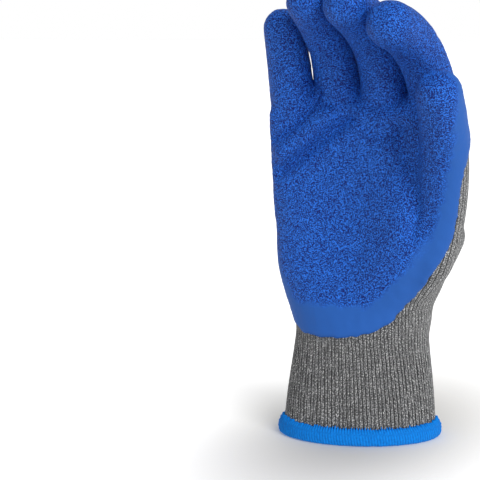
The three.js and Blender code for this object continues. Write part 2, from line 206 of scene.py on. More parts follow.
def body_place(points):
    """The inverse: each point's angle in its section and how far it stands off the surface."""
    part = body_section(points[:, 2])
    x, y = points[:, 0] - part["x"], points[:, 1] - part["y"]
    c = (x * np.cos(part["turn"]) + y * np.sin(part["turn"])) / part["a"]
    flat = y * np.cos(part["turn"]) - x * np.sin(part["turn"])
    flat = flat + edge_bend(part, np.clip(c, -1.1, 1.1))
    s = (flat - np.where(flat < 0, palm_relief(part, c), 0)) / part["b"]
    size = (np.abs(c) ** part["square"] + np.abs(s) ** part["square"]) ** (1 / part["square"])
    half = part["square"] / 2
    angle = np.arctan2(np.sign(s) * np.abs(s) ** half, np.sign(c) * np.abs(c) ** half)
    above = points[:, 2] - (WRIST_HEIGHT + WEB_TOP * PALM_HEIGHT)
    return angle % (2 * np.pi), np.abs(size - 1) * part["b"] + np.maximum(0, above) * 2


# %% [markdown]
# ## The digits
#
# A finger bends at three joints, but its skin bends in one smooth curve. The middle line is a
# Catmull-Rom curve through the joints, measured by its own length. The tip is a dome.


# %% Middle lines and surfaces of the digits
LINE_POINTS = 241
SHAFT_RINGS, DOME_RINGS = 59, 14
DOME_POWER = 0.85


class Digit:
    """A digit's sizes in millimetres and its middle line as an array of points by length."""

    def __init__(self, root, length, girth, widths, deep, nail, across, bones):
        self.length = length * FINGER_LENGTH
        self.deep = deep
        joints = [np.array([root[0] * PALM_WIDTH, root[1] * PALM_DEPTH,
                            WRIST_HEIGHT + root[2] * PALM_HEIGHT])]
        turn = np.radians(across)
        for share, lean, curl in bones:
            lean, curl = np.radians([lean, curl])
            along = np.array([
                np.cos(curl) * np.sin(lean) + np.sin(curl) * np.sin(turn),
                -np.sin(curl) * np.cos(turn),
                np.cos(curl) * np.cos(lean),
            ])
            joints.append(joints[-1] + along / np.linalg.norm(along) * share * self.length)
        self.marks = np.cumsum([0] + [bone[0] for bone in bones])
        self.halves = np.array(widths) * girth * FINGER_BREADTH / 2
        line = smooth_line(np.array(joints))
        steps = np.linalg.norm(np.diff(line, axis=0), axis=1)
        share = np.r_[0, np.cumsum(steps)] / steps.sum()
        self.shares = np.linspace(0, 1, LINE_POINTS)
        self.line = np.stack([np.interp(self.shares, share, line[:, k]) for k in range(3)], axis=1)
        self.tangent = unit(np.gradient(self.line, axis=0))
        nail = np.radians(nail)
        self.side = unit(np.cross([np.sin(nail), np.cos(nail), 0.0], self.tangent))
        self.back = np.cross(self.tangent, self.side)
        self.half = eased(self.shares, self.marks, self.halves, reach=0.05)

    def read(self, rows, share):
        """One of the digit's arrays at each share of its length."""
        return np.stack([np.interp(share, self.shares, rows[:, k]) for k in range(3)], axis=-1)

    def shell(self, around=40):
        """Rings along the shaft, then a dome: a ring's scale is the cosine of its turn ^ 0.85."""
        tip = self.halves[-1]
        straight = 1 - tip / self.length
        turn = np.linspace(0, 0.49 * np.pi, DOME_RINGS)
        share = np.r_[np.linspace(0, straight, SHAFT_RINGS + 1)[:-1],
                      straight + tip * np.sin(turn) / self.length]
        scale = np.r_[np.ones(SHAFT_RINGS), np.cos(turn) ** DOME_POWER]
        at = np.minimum(share, 1)
        centre = self.read(self.line, at) + self.read(self.tangent, at) * (
            (share - at) * self.length)[:, None]
        half = np.interp(at, self.shares, self.half)
        angle = np.arange(around) / around * 2 * np.pi
        across = (half * scale)[:, None] * np.cos(angle)
        over = (half * self.deep * scale)[:, None] * np.sin(angle)
        return (centre[:, None] + self.read(self.side, at)[:, None] * across[..., None]
                + self.read(self.back, at)[:, None] * over[..., None])

    def place(self, points):
        """Each point's share of the length, its turn from the nail in degrees, and its stand-off."""
        nearest = np.concatenate([  # in parts, to spare memory
            ((part[:, None] - self.line[None]) ** 2).sum(axis=2).argmin(axis=1)
            for part in np.array_split(points, 24)])
        off = points - self.line[nearest]
        across = (off * self.side[nearest]).sum(axis=1)
        over = (off * self.back[nearest]).sum(axis=1)
        ahead = (off * self.tangent[nearest]).sum(axis=1)
        turn = np.degrees(np.arctan2(across, over))
        share = self.shares[nearest] + ahead / self.length
        stand = np.abs(np.sqrt((off ** 2).sum(axis=1)) - self.half[nearest])
        return share, turn, stand


def smooth_line(joints, per_span=60):
    """A centripetal Catmull-Rom curve: each span is a cubic that turns with its neighbours."""
    ends = np.vstack([2 * joints[0] - joints[1], joints, 2 * joints[-1] - joints[-2]])
    t = np.linspace(0, 1, per_span)[:, None]
    spans = []
    for p0, p1, p2, p3 in zip(ends, ends[1:], ends[2:], ends[3:]):
        d0, d1, d2 = (np.linalg.norm(b - a) ** 0.5 for a, b in ((p0, p1), (p1, p2), (p2, p3)))
        m1 = ((p1 - p0) / d0 - (p2 - p0) / (d0 + d1) + (p2 - p1) / d1) * d1
        m2 = ((p2 - p1) / d1 - (p3 - p1) / (d1 + d2) + (p3 - p2) / d2) * d1
        spans.append(p1 + m1 * t + (3 * (p2 - p1) - 2 * m1 - m2) * t**2
                     + (2 * (p1 - p2) + m1 + m2) * t**3)
    return np.vstack([span[:-1] for span in spans] + [joints[-1:]])


digits = {name: Digit(*sizes) for name, sizes in DIGITS.items()}
print("digit lengths in mm", {name: round(digit.length, 1) for name, digit in digits.items()})

# %% [markdown]
# ## One skin from overlapping forms
#
# The palm and the digits overlap as plain closed forms. A voxel remesh turns them into one skin, as
# the knitting machine joins its tubes. The steps that the voxels leave are smoothed away, and the
# hollows between the digits are rounded, because cloth bridges a sharp corner.


# %% Meshes from arrays
def new_object(name, data):
    """An object in the scene with this data."""
    made = bpy.data.objects.new(name, data)
    bpy.context.collection.objects.link(made)
    return made


def add_piece(name, points, faces):
    """A mesh object at the origin from points in millimetres and faces."""
    mesh = bpy.data.meshes.new(name)
    mesh.from_pydata(np.asarray(points) * MM, [], np.asarray(faces))
    mesh.polygons.foreach_set("use_smooth", np.ones(len(mesh.polygons), bool))
    mesh.update()
    print(f"{name}: {len(mesh.vertices)} points, {len(mesh.polygons)} faces")
    return new_object(name, mesh)


def wall_faces(rings, around):
    """Quads between neighbouring rings of a grid whose rows close on themselves."""
    row, turn = np.meshgrid(np.arange(rings - 1), np.arange(around), indexing="ij")
    a = row * around + turn
    b = row * around + (turn + 1) % around
    return np.stack([a, b, b + around, a + around], axis=-1).reshape(-1, 4)


def closed_faces(rings, around):
    """The same, with the last ring joined to the first, as on a tyre."""
    return np.vstack([wall_faces(rings, around),
                      (wall_faces(2, around) + (rings - 1) * around) % (rings * around)])


def rungs(around, start, upwards):
    """Quads across a ring that close it, also where the ring is a crescent."""
    j = np.arange(around // 2)
    faces = np.stack([j, j + 1, around - j - 1, (around - j) % around], axis=-1) + start
    return faces if upwards else faces[:, ::-1]


def capped(grid):
    """A grid of rings as points and quads, closed at both ends."""
    rings, around = grid.shape[:2]
    faces = [wall_faces(rings, around), rungs(around, 0, False),
             rungs(around, (rings - 1) * around, True)]
    return grid.reshape(-1, 3), np.vstack(faces)


def remeshed(shells, voxel):
    """The shells' common skin as points in millimetres and triangles, from a voxel remesh."""
    offsets = np.cumsum([0] + [len(points) for points, _ in shells])
    points = np.vstack([points for points, _ in shells])
    faces = [[int(v) for v in dict.fromkeys(face + offset)]
             for (_, quads), offset in zip(shells, offsets) for face in quads]
    mesh = bpy.data.meshes.new("overlap")
    mesh.from_pydata(points * MM, [], faces)
    lump = new_object("overlap", mesh)
    remesh = lump.modifiers.new("skin", "REMESH")
    remesh.mode = "VOXEL"
    remesh.voxel_size = voxel * MM
    skin = lump.evaluated_get(bpy.context.evaluated_depsgraph_get()).to_mesh()
    skin.calc_loop_triangles()
    found = np.empty(len(skin.vertices) * 3, np.float32)
    skin.vertices.foreach_get("co", found)
    triangles = np.empty(len(skin.loop_triangles) * 3, np.int32)
    skin.loop_triangles.foreach_get("vertices", triangles)
    bpy.data.objects.remove(lump)
    bpy.data.meshes.remove(mesh)
    return found.reshape(-1, 3).astype(float) / MM, triangles.reshape(-1, 3)


# %% Smoothing with arrays
STEP_IN, STEP_OUT = 0.6, -0.62  # shares of the way to the neighbours' mean; out keeps the volume
FULL_PULL = 0.05  # mm of hollow at which the rounding step has its full share


def normals_of(points, triangles):
    """Each point's normal: the sum of its triangles' cross products, made one long."""
    a, b, c = (points[triangles[:, k]] for k in range(3))
    cross = np.cross(b - a, c - a)
    return unit(np.stack([
        sum(np.bincount(triangles[:, k], cross[:, axis], len(points)) for k in range(3))
        for axis in range(3)
    ], axis=1))


def sides_of(triangles):
    """The three sides of each triangle as pairs of points."""
    return np.vstack([triangles[:, [k, (k + 1) % 3]] for k in range(3)])


class Neighbours:
    """The edges of a mesh, and the mean of a value over each point's neighbours."""

    def __init__(self, triangles, count):
        self.a, self.b = np.unique(np.sort(sides_of(triangles), axis=1), axis=0).T
        self.count = count
        self.number = np.bincount(np.r_[self.a, self.b], minlength=count)

    def mean(self, values):
        """The sum of the neighbours' values over their number."""
        values = values if values.ndim > 1 else values[:, None]
        total = np.stack([
            np.bincount(self.a, column[self.b], self.count)
            + np.bincount(self.b, column[self.a], self.count)
            for column in values.T
        ], axis=1)
        return (total / np.maximum(self.number, 1)[:, None]).squeeze()


def faired(points, triangles, steps=10, hollow_steps=26):
    """In and out steps towards the neighbours' mean, then more where the skin is hollow."""
    near = Neighbours(triangles, len(points))

    def in_and_out(points, times):
        for share in (STEP_IN, STEP_OUT) * times:
            points = points + share * (near.mean(points) - points)
        return points

    points = in_and_out(points, steps)
    for _ in range(hollow_steps):
        pull = near.mean(points) - points
        hollow = (pull * normals_of(points, triangles)).sum(axis=1)
        points = points + STEP_IN * np.clip(hollow / FULL_PULL, 0, 1)[:, None] * pull
    return in_and_out(points, 4)


# %% The skin of the hand
AROUND_BODY = 120
BELOW_WRIST = 9.0
VOXEL = 1.3
angles = np.arange(AROUND_BODY) / AROUND_BODY * 2 * np.pi
levels = np.r_[
    np.linspace(WRIST_HEIGHT - BELOW_WRIST, WRIST_HEIGHT + WEB_FOOT * PALM_HEIGHT, 80),
    WRIST_HEIGHT + np.linspace(0.975, WEB_TOP, 10) * PALM_HEIGHT]
shells = [capped(body_point(levels[:, None], angles[None]))]
shells += [capped(digit.shell()) for digit in digits.values()]
skin, skin_faces = remeshed(shells, VOXEL)
skin = faired(skin, skin_faces)
print("skin of the hand:", len(skin), "points")

# %% [markdown]
# ## Folds of the palm
#
# A half closed hand folds the coat where the fingers start and beside the thumb. Each fold is a
# line across the palm, seen from the front, along which the skin sinks or swells.

# %% Fold the palm
FOLDS = [  # depth in mm (below zero it swells), half width in mm, points as x and z in mm
    (2.8, 2.6, [(-17, 190), (-19, 185), (-23, 178), (-29, 171), (-35, 167), (-41, 164)]),
    (4.4, 4.0, [(-39, 147), (-33, 150), (-26, 156), (-18, 162), (-11, 168), (-6, 172), (0, 177)]),
    (-2.6, 4.5, [(-36, 158), (-31, 160), (-24, 166), (-17, 172), (-11, 178)]),
    (3.0, 4.5, [(27, 172), (31, 160), (34, 152), (37, 142), (39, 131), (38, 118)]),
    (0.9, 3.0, [(4, 176), (12, 170), (22, 168), (30, 172)]),
    (-1.2, 6.0, [(-30, 128), (-12, 140), (6, 150), (18, 158)]),
]
FOLDS_BEHIND = -38.0  # mm; the curled fingers lie before it


def distance_to_line(points, line):
    """Each point's distance from a line of straight spans, in its plane."""
    best = np.full(len(points), np.inf)
    for a, b in zip(line, line[1:]):
        a, b = np.array(a, float), np.array(b, float)
        share = np.clip((points - a) @ (b - a) / ((b - a) @ (b - a)), 0, 1)
        best = np.minimum(best, np.linalg.norm(points - a - share[:, None] * (b - a), axis=1))
    return best


def folded(points, triangles):
    """Each fold moves the skin along its normal by depth times a bell curve of the distance."""
    normal = normals_of(points, triangles)
    front = np.clip((-normal[:, 1] - 0.4) / 0.4, 0, 1)  # fades out as the skin turns sideways
    sunk = np.zeros(len(points))
    for depth, width, line in FOLDS:
        sunk += depth * np.exp(-((distance_to_line(points[:, [0, 2]], line) / width) ** 2))
    return points - normal * (sunk * front * (points[:, 1] > FOLDS_BEHIND))[:, None]


skin = folded(skin, skin_faces)
skin_normal = normals_of(skin, skin_faces)

# %% [markdown]
# ## Where the coat ends
#
# The glove is dipped palm down, so the latex creeps round to a line on the back that is never quite
# even. Each point of the skin belongs to the form that it lies nearest to, and that form's table
# says how far inside the coat it is.


# %% Distance inside the coat
SLOPE_STEP = 0.01  # the share of a length over which the edge's slope is read
OWNER_BLEND = 1.2  # mm of stand-off over which one form hands over to the next
MARGIN_LIMIT = 12.0  # mm; past it, inside or outside, the distance doesn't matter
EDGE_STEPS = 8
EDGE_WAVES = [(0.55, 9.0, 1), (0.5, 3.4, 2)]
BODY, THUMB = 0, len(DIGITS)  # the owners' numbers; the fingers' lie between them


def body_coat(points, angle):
    """Half of the reach less the turn from its middle, made millimetres, over its slope."""
    up = (points[:, 2] - WRIST_HEIGHT) / PALM_HEIGHT
    part = body_section(points[:, 2])

    def reach(at):
        start, end = (eased(at, COAT_REACH["up"], COAT_REACH[k], 0.008) for k in ("start", "end"))
        return np.radians((start + end) / 2), np.radians((end - start) / 2)

    middle, half = reach(up)
    turn = (angle - middle + np.pi) % (2 * np.pi) - np.pi
    edge = middle + np.sign(turn) * half
    speed = np.hypot(part["a"] * np.sin(edge), part["b"] * np.cos(edge))
    ahead, behind = reach(up + SLOPE_STEP)[1], reach(up - SLOPE_STEP)[1]
    slope = (ahead - behind) / (2 * SLOPE_STEP * PALM_HEIGHT) * speed
    margin = (half - np.abs(turn)) * speed / np.hypot(1, slope)
    return np.where(up < COAT_REACH["up"][0], (up - COAT_REACH["up"][0]) * PALM_HEIGHT, margin)


def digit_coat(digit, share, turn, bare):
    """The turn from the nail less half of the bare spread, made millimetres, over its slope."""
    behind, half, ahead = (np.interp(share + step, bare["along"], bare["half"])
                           for step in (-SLOPE_STEP, 0, SLOPE_STEP))
    radius = np.interp(share, digit.shares, digit.half) * np.pi / 180
    slope = (ahead - behind) / (2 * SLOPE_STEP * digit.length)
    return (np.abs(turn) - half) * radius / np.hypot(1, slope * radius)


def waves(points, size, seed, count=9):
    """A smooth random value between about -1 and 1: waves of one length, each with its own way."""
    draw = np.random.default_rng(seed)
    way = unit(draw.normal(size=(count, 3)))
    shift = draw.uniform(0, 2 * np.pi, count)
    return np.sin(points @ way.T * (2 * np.pi / size) + shift).mean(axis=1) * 2


def uneven(points, layers):
    """The sum of some waves, each layer a height and a size in mm and a seed."""
    return sum(height * waves(points, size, seed) for height, size, seed in layers)


body_angle, stand = body_place(skin)
places = {name: digit.place(skin) for name, digit in digits.items()}
stands = np.stack([stand] + [place[2] for place in places.values()])
owner = stands.argmin(axis=0)
margins = [body_coat(skin, body_angle)]
for name, (along, around, _) in places.items():
    bare = THUMB_BARE if name == "thumb" else FINGER_BARE
    margins.append(digit_coat(digits[name], along, around - BARE_TURN.get(name, 0), bare))
weights = np.exp((stands.min(axis=0) - stands) / OWNER_BLEND)
margins = np.clip(margins, -MARGIN_LIMIT, 2 * MARGIN_LIMIT)
inside = (weights * margins).sum(axis=0) / weights.sum(axis=0)
near = Neighbours(skin_faces, len(skin))
for _ in range(EDGE_STEPS):
    inside = near.mean(inside)
inside = inside + uneven(skin, EDGE_WAVES)
print("share of the skin under the coat", round(float((inside > 0).mean()), 2))

# %% [markdown]
# The crinkle starts inside the coat's edge: a wide band stays smooth at the heel of the hand and
# down the thumb's side, a narrow one on the fingers.

# %% Distance inside the crinkle
SMOOTH_BAND = columns("z width", [(57, 17), (78, 15), (92, 13.5), (115, 12), (130, 13), (185, 8)])
SMOOTH_BELOW = 76.0
FINGER_SMOOTH = 2.0
THUMB_RADIUS = 12.0
CRINKLE_STEPS = 12
THUMB_SMOOTH = columns("along half", [(0.1, 140), (0.4, 119), (0.57, 110), (0.71, 95), (0.84, 77),
                                      (0.93, 58), (1, 10), (1.1, -60)])
thumb_share, thumb_turn, _ = places["thumb"]
washed = np.minimum(inside - np.interp(skin[:, 2], SMOOTH_BAND["z"], SMOOTH_BAND["width"]),
                    skin[:, 2] - SMOOTH_BELOW)
washed = np.where((owner > BODY) & (owner < THUMB), inside - FINGER_SMOOTH, washed)
thumb_edge = np.interp(thumb_share, THUMB_SMOOTH["along"], THUMB_SMOOTH["half"])
thumb_washed = np.radians(np.abs(thumb_turn) - thumb_edge) * THUMB_RADIUS
washed = np.clip(np.where(owner == THUMB, thumb_washed, washed), -MARGIN_LIMIT, MARGIN_LIMIT)
for _ in range(CRINKLE_STEPS):
    washed = near.mean(washed)

# %% [markdown]
# ## Walls
#
# Cloth and latex are thin walls. An open skin is cut from the whole one along a line where a value
# crosses zero, and then gets a second side and a rim, so that each piece is closed.


# %% Cut a skin and give it a wall
def cut(points, triangles, value, *others):
    """The part of a skin where the value is above zero, with new points where edges cross it."""
    above = value > 0
    number = above[triangles].sum(axis=1)
    parts = [triangles[number == 3]]
    crossing = []
    for kept in (1, 2):
        rows = triangles[number == kept]
        lone = (above[rows] if kept == 1 else ~above[rows]).argmax(axis=1)
        a, b, c = (rows[np.arange(len(rows)), (lone + k) % 3] for k in range(3))
        crossing.append((kept, a, b, c))
    pairs = np.vstack([np.sort(np.stack(pair, axis=1), axis=1)
                       for _, a, b, c in crossing for pair in ((a, b), (a, c))])
    edges, found = np.unique(pairs, axis=0, return_inverse=True)
    found = found.reshape(-1) + len(points)
    start = 0
    for kept, a, b, c in crossing:
        ab, ac = found[start:start + len(a)], found[start + len(a):start + 2 * len(a)]
        start += 2 * len(a)
        if kept == 1:
            parts.append(np.stack([a, ab, ac], axis=1))
        else:
            parts += [np.stack([ab, b, c], axis=1), np.stack([ab, c, ac], axis=1)]
    first, last = edges.T
    share = np.clip(value[first] / (value[first] - value[last]), 0.04, 0.96)  # no slivers

    def carried(column):
        weight = share if column.ndim == 1 else share[:, None]
        return np.concatenate([column, column[first] * (1 - weight) + column[last] * weight])

    used, corners = np.unique(np.vstack(parts), return_inverse=True)
    return [carried(column)[used] for column in (points, *others)] + [corners.reshape(-1, 3)]


def walled(points, triangles, normal, outer, inner):
    """An outer side, an inner side turned round, and quads between their rims, as triangles."""
    count = len(points)
    side = sides_of(triangles)
    _, index, number = np.unique(np.sort(side, axis=1), axis=0, return_index=True,
                                 return_counts=True)
    a, b = side[index[number == 1]].T
    rim = np.vstack([np.stack([b, a, a + count], axis=1),
                     np.stack([b, a + count, b + count], axis=1)])
    both = np.vstack([points + normal * np.reshape(outer, (-1, 1)),
                      points - normal * np.reshape(inner, (-1, 1))])
    return both, np.vstack([triangles, triangles[:, ::-1] + count, rim])


# %% [markdown]
# ## The knit's own coordinates
#
# A yarn pattern follows the cloth. One coordinate counts wales round the section, by the length of
# its outline, and the other counts courses along it. The digits have their own counts.


# %% Stitch coordinates
TURN_HEIGHTS = np.linspace(0, WRIST_HEIGHT + WEB_TOP * PALM_HEIGHT, 90)
TURN_ANGLES = np.linspace(0, 2 * np.pi, 241)


def turn_table():
    """For each height, the share of the outline that lies before each angle."""
    outline = body_point(TURN_HEIGHTS[:, None], TURN_ANGLES[None])
    steps = np.linalg.norm(np.diff(outline, axis=1), axis=2)
    along = np.concatenate([np.zeros((len(outline), 1)), np.cumsum(steps, axis=1)], axis=1)
    return along / along[:, -1:]


TURNS = turn_table()


def turn_share(z, angle):
    """The table between its rows and columns."""
    row = np.clip(z / TURN_HEIGHTS[1], 0, len(TURN_HEIGHTS) - 1.001)
    col = np.clip(angle / TURN_ANGLES[1], 0, len(TURN_ANGLES) - 1.001)
    i, j = row.astype(int), col.astype(int)
    p, q = row - i, col - j
    low = TURNS[i, j] * (1 - q) + TURNS[i, j + 1] * q
    high = TURNS[i + 1, j] * (1 - q) + TURNS[i + 1, j + 1] * q
    return low * (1 - p) + high * p


def stitches(points):
    """For the body and each digit: each point's wales round, courses along and stand-off."""
    angle, stand = body_place(points)
    tables = [(turn_share(points[:, 2], angle) * BODY_WALES, points[:, 2] / COURSE, stand)]
    for digit in digits.values():
        share, turn, stand = digit.place(points)
        tables.append((turn / 360 * FINGER_WALES, share * digit.length / COURSE, stand))
    return tables


def add_uv(piece, u, v, whole):
    """Corner coordinates, with no face that spans the seam where a whole round of wales ends."""
    u = u - whole * np.round((u - u[:, :1]) / whole)
    layer = piece.data.uv_layers.new(name="stitches")
    layer.data.foreach_set("uv", np.stack([u, v], axis=-1).astype(np.float32).ravel())


def set_uv(piece, points, corners):
    """Each face takes the coordinates of the form that it lies nearest to."""
    u, v, stand = (np.stack(column) for column in zip(*stitches(points)))
    nearest = stand[:, corners].mean(axis=2).argmin(axis=0)[:, None]
    add_uv(piece, u[nearest, corners], v[nearest, corners],
           np.where(nearest == BODY, BODY_WALES, FINGER_WALES))


# %% [markdown]
# ## Finishes
#
# Colours are given as they look on a screen, and one function turns them to linear light. A small
# class adds nodes to a tree.


# %% Material helpers
def linear(code):
    """sRGB hex to linear: below 0.04045 a straight line, above it a power of 2.4."""
    s = np.array([int(code[k:k + 2], 16) for k in (1, 3, 5)]) / 255
    return (*np.where(s <= 0.04045, s / 12.92, ((s + 0.055) / 1.055) ** 2.4), 1.0)


class Nodes:
    """Adds nodes to a tree. An input is a value or the output socket that feeds it."""

    def __init__(self, tree):
        self.tree = tree

    def feed(self, node, inputs):
        """Give a node its inputs."""
        for key, value in inputs.items():
            if isinstance(value, bpy.types.NodeSocket):
                self.tree.links.new(value, node.inputs[key])
            else:
                node.inputs[key].default_value = value
        return node

    def add(self, kind, inputs=(), **settings):
        """A new node with its settings and inputs."""
        node = self.tree.nodes.new("ShaderNode" + kind)
        for key, value in settings.items():
            setattr(node, key, value)
        return self.feed(node, dict(inputs))

    def math(self, operation, *values, **settings):
        """The result of one sum."""
        return self.add("Math", dict(enumerate(values)), operation=operation,
                        **settings).outputs[0]

    def spread(self, value, low, high, start=0.0, end=1.0, kind="LINEAR"):
        """The value's way from low to high, carried to the way from start to end."""
        return self.add("MapRange", {0: value, 1: low, 2: high, 3: start, 4: end},
                        interpolation_type=kind).outputs[0]

    def noise(self, place, scale, detail, **inputs):
        """A grey noise whose cells are 1 / scale wide."""
        return self.add("TexNoise", {"Vector": place, "Scale": scale, "Detail": detail,
                                     **inputs}).outputs["Fac"]

    def mix(self, share, first, second):
        """A colour between two, each a hex code or a socket."""
        first, second = (linear(c) if isinstance(c, str) else c for c in (first, second))
        return self.add("Mix", {0: share, 6: first, 7: second}, data_type="RGBA").outputs[2]

    def surface(self, shader, colour, height, depth, strength=1.0):
        """The shader's colour, and a bump that is depth millimetres high."""
        bump = self.add("Bump", {"Height": height, "Distance": depth * MM, "Strength": strength})
        self.feed(shader, {"Base Color": colour, "Normal": bump.outputs[0]})


def new_material(name, roughness, ior=1.5, sheen=0.0):
    """A material with one Principled shader, and its nodes."""
    material = bpy.data.materials.new(name)
    material.use_nodes = True
    shader = material.node_tree.nodes["Principled BSDF"]
    shader.inputs["Roughness"].default_value = roughness
    shader.inputs["IOR"].default_value = ior
    shader.inputs["Sheen Weight"].default_value = sheen
    shader.inputs["Sheen Roughness"].default_value = 0.6
    return material, shader, Nodes(material.node_tree)


# %% [markdown]
# ### Plain knit of heather yarn
#
# Heather yarn is spun from light and dark fibres, so each stitch has its own grey. A stitch shows as
# a V: two legs that lean away from the middle of the wale. The gaps between the wales are painted
# dark, as painted shade. The pattern reads the stitch coordinates, where one wale and one course are
# one unit each.


# %% The knit
def knit_material(name, greys, gap_shade, lift):
    """A leg falls to the hollow between wales, painted dark as shade; strand = sine along it, sloped
    by the way across.
    """
    material, shader, nodes = new_material(name, roughness=0.95, ior=1.45, sheen=0.25)
    add, math, spread = nodes.add, nodes.math, nodes.spread
    place = add("TexCoord").outputs["UV"]
    wobble = add("TexNoise", {"Vector": place, "Scale": 0.35, "Detail": 2.0}).outputs["Color"]
    shifted = add("VectorMath", {0: wobble, 1: (0.5, 0.5, 0.5)}, operation="SUBTRACT").outputs[0]
    bent = add("VectorMath", {0: shifted, 1: (0.55, 0.7, 0.0), 2: place},
               operation="MULTIPLY_ADD").outputs[0]
    u, v, _ = add("SeparateXYZ", {0: bent}).outputs
    away = math("MULTIPLY", math("ABSOLUTE", math("SUBTRACT", math("FRACT", u), 0.5)), 2.0)
    rise = spread(away, 0.98, 0.46, kind="SMOOTHSTEP")
    leg = math("MULTIPLY", rise, spread(away, 0.0, 0.25, 0.45, 1.0))
    slope = math("SUBTRACT", v, math("MULTIPLY", away, 0.75))
    strand = math("POWER", math("SINE", math("MULTIPLY", math("FRACT", slope), np.pi)), 0.7)
    height = math("MULTIPLY", leg, math("MULTIPLY_ADD", strand, 0.7, 0.3))
    cell = add("CombineXYZ", {0: math("FLOOR", math("MULTIPLY", u, 2.0)),
                              1: math("FLOOR", slope)}).outputs[0]
    tone = add("TexWhiteNoise", {"Vector": cell}, noise_dimensions="2D").outputs["Value"]
    fibre = spread(nodes.noise(bent, 3.4, 1.0), 0.38, 0.62)
    ramp = add("ValToRGB", {0: math("MULTIPLY_ADD", fibre, 0.72, math("MULTIPLY", tone, 0.28))})
    stops = ramp.color_ramp.elements
    stops[0].position, stops[1].position = 0.1, 0.9
    for position in (0.36, 0.62):
        stops.new(position)
    for stop, code in zip(stops, greys):
        stop.color = linear(code)
    # Painted shade: where the height is low, between the wales and strands, the colour turns to the
    # dark shade colour.
    nodes.surface(shader, nodes.mix(spread(height, 0.1, 0.75), gap_shade, ramp.outputs[0]), height, lift)
    return material


# The last colour of each knit is its painted shade between the wales.
hand_knit = knit_material("heather yarn plain knit", ("#242526", "#555658", "#7e7f81", "#dadada"),
                          "#111213", 0.5)
cuff_knit = knit_material("heather yarn elastic knit", ("#303132", "#5c5d5f", "#7f8082", "#d4d4d4"),
                          "#0a0b0c", 0.6)

# %% [markdown]
# ### Crinkled natural latex
#
# The wet latex is washed with a solvent before it sets. Its skin wrinkles into short worm-like
# pits, about a millimetre apart, which give the grip. Near the edge of the coat the wash doesn't
# reach, and the latex stays smooth and duller.


# %% The latex
def latex_material():
    """Pits lie where a twisted noise, whose cells are about 0.6 mm wide, is low; they sink in the
    bump and are painted dark as shade.
    """
    material, shader, nodes = new_material("crinkled natural latex", roughness=0.62, ior=1.52)
    shader.inputs["Specular IOR Level"].default_value = 0.2
    place = nodes.add("TexCoord").outputs["Object"]
    crinkled = nodes.add("Attribute", attribute_name="crinkle").outputs["Fac"]
    worms = nodes.noise(place, 1750.0, 1.0, Roughness=0.4, Distortion=0.6)
    pit = nodes.spread(worms, 0.42, 0.57, 1.0, 0.0, kind="SMOOTHSTEP")
    shaded_pits = nodes.math("MULTIPLY", pit, crinkled, use_clamp=True)
    plain = nodes.mix(nodes.noise(place, 45.0, 3.0), "#2471e4", "#2c7aec")
    # Painted shade: the pits are painted near black-blue, for the shade in the hollows of the
    # crinkle; their bump is real form.
    colour = nodes.mix(shaded_pits, nodes.mix(crinkled, "#205bae", plain), "#031d6e")
    grain = nodes.math("MULTIPLY", nodes.noise(place, 1500.0, 2.0), 0.12)
    nodes.surface(shader, colour, nodes.math("SUBTRACT", grain, shaded_pits), 0.35)
    return material


latex = latex_material()

# %% [markdown]
# ### Overlock yarn
#
# The hem is bound by a bright textured yarn, laid side by side. It is fluffy and matt. The grooves
# between its turns are darker, because light is lost in them.


# %% The hem's yarn
def yarn_material():
    """Painted shade: the colour runs from a dark groove to a light crest by the hem's attribute,
    with a little uneven dye.
    """
    material, shader, nodes = new_material("textured overlock yarn", roughness=0.9, ior=1.3)
    ridge_and_shade = nodes.add("Attribute", attribute_name="ridge_and_shade").outputs["Fac"]
    dye = nodes.noise(nodes.add("TexCoord").outputs["Object"], 900.0, 3.0)
    level = nodes.math("MULTIPLY_ADD", dye, 1.6, ridge_and_shade)
    # Painted shade: the first colour is the grooves', the second the crests'.
    colour = nodes.mix(nodes.spread(level, 0.4, 2.0), "#0054a4", "#0080de")
    nodes.surface(shader, colour, dye, 0.2, strength=0.8)
    return material


yarn = yarn_material()


def add_value(piece, name, values):
    """A value between 0 and 1 at each point, for a material to read."""
    layer = piece.data.attributes.new(name, "FLOAT", "POINT")
    layer.data.foreach_set("value", np.clip(values, 0, 1).astype(np.float32).ravel())


def dress(piece, node, material):
    """The piece stands for its solid, moves with the one body and has its finish."""
    piece.data.materials.append(material)
    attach(piece, "root")
    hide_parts(node)


# %% [markdown]
# ## The knitted hand
#
# The liner is the whole skin above the wrist, with a wall as thick as the knit. It lies under the
# coat too, as in the real glove.

# %% Make the liner
LINER_FOOT = WRIST_HEIGHT + 0.25
liner_skin, liner_normal, liner_faces = cut(skin, skin_faces, skin[:, 2] - LINER_FOOT, skin_normal)
liner_points, liner_walls = walled(liner_skin, liner_faces, liner_normal, 0.0, KNIT_WALL)
liner = add_piece("knit_liner_cloth", liner_points, liner_walls)
set_uv(liner, liner_skin, liner_walls % len(liner_skin))
dress(liner, "knit_liner", hand_knit)

# %% [markdown]
# ## The latex coat
#
# The coat soaks into the knit at its edge and is thickest away from it. Its outside stands off the
# skin by a height that rises within two millimetres, and its inside lies in the knit.

